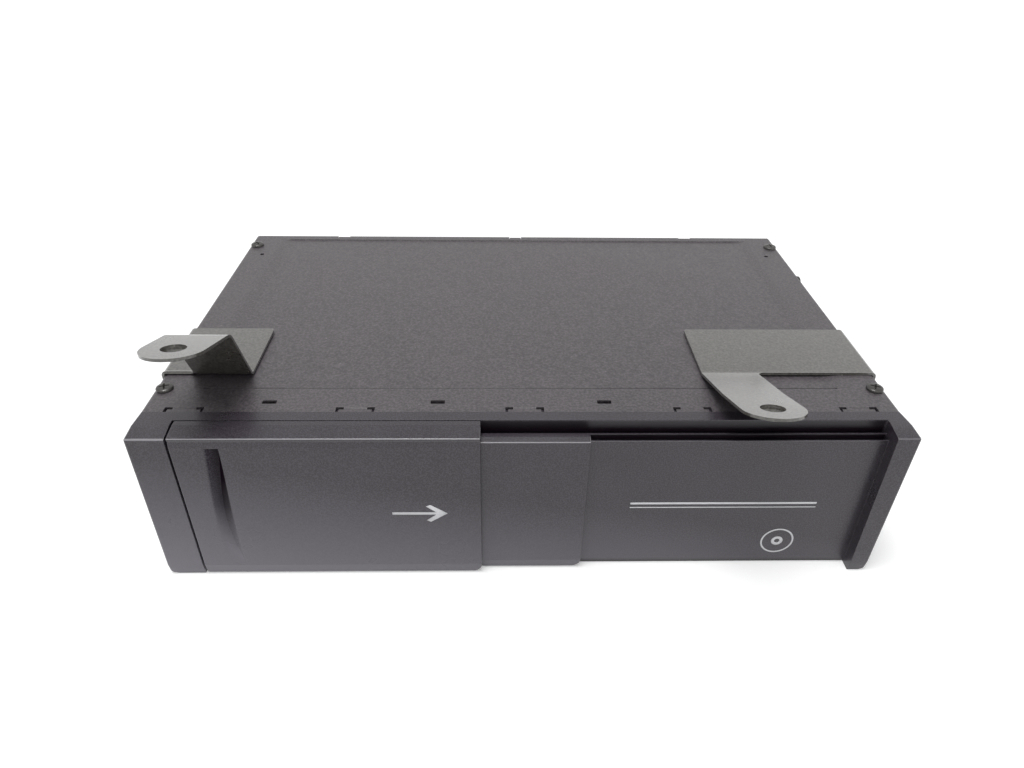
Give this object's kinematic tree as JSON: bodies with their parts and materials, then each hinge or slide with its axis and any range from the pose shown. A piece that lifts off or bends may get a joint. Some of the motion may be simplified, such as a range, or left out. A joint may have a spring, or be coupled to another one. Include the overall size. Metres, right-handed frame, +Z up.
{
  "type": "car cd changer",
  "caption": "Flat black steel car CD changer case with a telescoping sliding front door, slide-out disc trays inside and two hanging mounting brackets.",
  "frame": {"origin": "middle of the underside of the case", "axes": "+Z up, +X to the right of a person facing the door, -Y the door front"},
  "size_m": [0.2698, 0.1781, 0.0954],
  "materials": {
    "case_black": "satin",
    "front_plastic": "satin",
    "bracket_steel": "satin",
    "black_screw": "satin",
    "zinc_steel": "satin",
    "magazine_plastic": "satin",
    "tray_plastic": "satin",
    "nylon": "satin",
    "motor_can": "satin",
    "brass": "satin",
    "turntable_plastic": "satin",
    "lens": "gloss",
    "board": "satin",
    "rubber": "matte"
  },
  "bodies": {
    "root": {"top_cover": "case_black", "base_chassis": "case_black", "front_bezel": "front_plastic", "bracket_left": "bracket_steel", "bracket_right": "bracket_steel", "cover_screws": "black_screw", "bracket_bolts": "black_screw", "side_screw": "black_screw", "bay_frame": "zinc_steel", "bay_posts": "zinc_steel", "mechanism_frame": "zinc_steel", "rubber_mounts": "rubber", "gear_plate": "zinc_steel", "lift_motor": "motor_can", "catch_pivot": "zinc_steel", "main_board": "board", "board_parts": "turntable_plastic", "board_screws": "zinc_steel", "board_standoffs": "zinc_steel", "rear_socket": "turntable_plastic", "socket_pins": "brass"},
    "outer_door": {"outer_door": "front_plastic"},
    "middle_door": {"middle_door": "front_plastic"},
    "magazine": {"magazine_case": "magazine_plastic"},
    "tray_1": {"tray_1": "tray_plastic"},
    "tray_2": {"tray_2": "tray_plastic"},
    "tray_3": {"tray_3": "tray_plastic"},
    "tray_4": {"tray_4": "tray_plastic"},
    "tray_5": {"tray_5": "tray_plastic"},
    "tray_6": {"tray_6": "tray_plastic"},
    "eject_button": {"eject_button": "front_plastic"},
    "magazine_catch": {"magazine_catch": "nylon"},
    "deck": {"deck_plate": "zinc_steel", "lift_pins": "zinc_steel", "spindle_motor": "motor_can", "guide_rods": "zinc_steel", "rod_clips": "nylon", "screw_bearing": "nylon", "sled_motor": "motor_can", "pulley_posts": "zinc_steel", "feed_belt": "rubber", "feed_rod": "zinc_steel", "feed_rod_stands": "nylon", "feed_motor": "motor_can"},
    "lift_slider": {"lift_slider": "zinc_steel"},
    "lift_gear_low": {"lift_gear_low": "nylon"},
    "lift_gear_high": {"lift_gear_high": "nylon"},
    "lift_motor_pinion": {"lift_motor_pinion": "brass"},
    "turntable": {"turntable": "turntable_plastic"},
    "pickup": {"pickup_sled": "turntable_plastic", "pickup_lens": "lens"},
    "lead_screw": {"lead_screw": "zinc_steel"},
    "sled_motor_pinion": {"sled_motor_pinion": "brass"},
    "tray_hook": {"tray_hook": "nylon"},
    "feed_pulley_drive": {"feed_pulley_drive": "nylon"},
    "feed_pulley_idler": {"feed_pulley_idler": "nylon"}
  },
  "joints": [
    {"name": "door_slide", "type": "slide", "parent": "root", "child": "outer_door", "axis": [1, 0, 0], "range_m": [0, 0.1392]},
    {"name": "middle_door_slide", "type": "slide", "parent": "root", "child": "middle_door", "axis": [1, 0, 0], "range_m": [0, 0.102]},
    {"name": "magazine_eject", "type": "slide", "parent": "root", "child": "magazine", "axis": [0, 1, 0], "range_m": [-0.008, 0]},
    {"name": "tray_1_slide", "type": "slide", "parent": "magazine", "child": "tray_1", "axis": [1, 0, 0], "range_m": [0, 0.088]},
    {"name": "tray_2_slide", "type": "slide", "parent": "magazine", "child": "tray_2", "axis": [1, 0, 0], "range_m": [0, 0.088]},
    {"name": "tray_3_slide", "type": "slide", "parent": "magazine", "child": "tray_3", "axis": [1, 0, 0], "range_m": [0, 0.088]},
    {"name": "tray_4_slide", "type": "slide", "parent": "magazine", "child": "tray_4", "axis": [1, 0, 0], "range_m": [0, 0.088]},
    {"name": "tray_5_slide", "type": "slide", "parent": "magazine", "child": "tray_5", "axis": [1, 0, 0], "range_m": [0, 0.088]},
    {"name": "tray_6_slide", "type": "slide", "parent": "magazine", "child": "tray_6", "axis": [1, 0, 0], "range_m": [0, 0.088]},
    {"name": "eject_press", "type": "slide", "parent": "root", "child": "eject_button", "axis": [0, 1, 0], "range_m": [0, 0.003], "stiffness_N_per_m": 300},
    {"name": "catch_turn", "type": "hinge", "parent": "root", "child": "magazine_catch", "pos_m": [0.00185, -0.0462, 0.0093], "axis": [0, 0, 1], "range_deg": [0, 17.2]},
    {"name": "deck_lift", "type": "slide", "parent": "root", "child": "deck", "axis": [0, 0, -1], "range_m": [-0.032, 0]},
    {"name": "lift_slider_slide", "type": "slide", "parent": "root", "child": "lift_slider", "axis": [1, 0, 0], "range_m": [0, 0.032]},
    {"name": "lift_gear_low_turn", "type": "hinge", "parent": "root", "child": "lift_gear_low", "pos_m": [0.006, 0.029, 0.005], "axis": [0, 0, 1], "range_deg": [0, 382.07]},
    {"name": "lift_gear_high_turn", "type": "hinge", "parent": "root", "child": "lift_gear_high", "pos_m": [-0.00457, 0.0351, 0.008], "axis": [0, 0, 1], "range_deg": [-1146.02, 0]},
    {"name": "lift_motor_turn", "type": "hinge", "parent": "root", "child": "lift_motor_pinion", "pos_m": [-0.01513, 0.0412, 0.01], "axis": [0, 0, 1], "range_deg": [0, 5729.68]},
    {"name": "turntable_spin", "type": "hinge", "parent": "deck", "child": "turntable", "pos_m": [0.03485, -0.005, 0.016], "axis": [0, 0, 1], "continuous": true},
    {"name": "pickup_slide", "type": "slide", "parent": "deck", "child": "pickup", "axis": [1, 0, 0], "range_m": [0, 0.034]},
    {"name": "lead_screw_turn", "type": "hinge", "parent": "deck", "child": "lead_screw", "pos_m": [0.05885, -0.036, 0.0106], "axis": [1, 0, 0], "range_deg": [0, 4080.1]},
    {"name": "sled_motor_turn", "type": "hinge", "parent": "deck", "child": "sled_motor_pinion", "pos_m": [0.114, -0.04183, 0.01272], "axis": [1, 0, 0], "range_deg": [-8160.1, 0]},
    {"name": "tray_hook_slide", "type": "slide", "parent": "deck", "child": "tray_hook", "axis": [1, 0, 0], "range_m": [0, 0.088]},
    {"name": "feed_pulley_drive_turn", "type": "hinge", "parent": "deck", "child": "feed_pulley_drive", "pos_m": [0.028, -0.0586, 0.016], "axis": [0, 0, 1], "range_deg": [0, 1039.69]},
    {"name": "feed_pulley_idler_turn", "type": "hinge", "parent": "deck", "child": "feed_pulley_idler", "pos_m": [0.118, -0.0586, 0.016], "axis": [0, 0, 1], "range_deg": [0, 1039.69]}
  ],
  "couplings": [
    {"joint": "middle_door_slide", "follows": "door_slide", "ratio": 0.73276},
    {"joint": "catch_turn", "follows": "eject_press", "rad_per_m": 100},
    {"joint": "lift_slider_slide", "follows": "deck_lift", "ratio": -1},
    {"joint": "lift_gear_low_turn", "follows": "deck_lift", "rad_per_m": -208.33},
    {"joint": "lift_gear_high_turn", "follows": "deck_lift", "rad_per_m": 625},
    {"joint": "lift_motor_turn", "follows": "deck_lift", "rad_per_m": -3125},
    {"joint": "lead_screw_turn", "follows": "pickup_slide", "rad_per_m": 2094.4},
    {"joint": "sled_motor_turn", "follows": "pickup_slide", "rad_per_m": -4188.8},
    {"joint": "feed_pulley_drive_turn", "follows": "tray_hook_slide", "rad_per_m": 206.19},
    {"joint": "feed_pulley_idler_turn", "follows": "tray_hook_slide", "rad_per_m": 206.19}
  ]
}
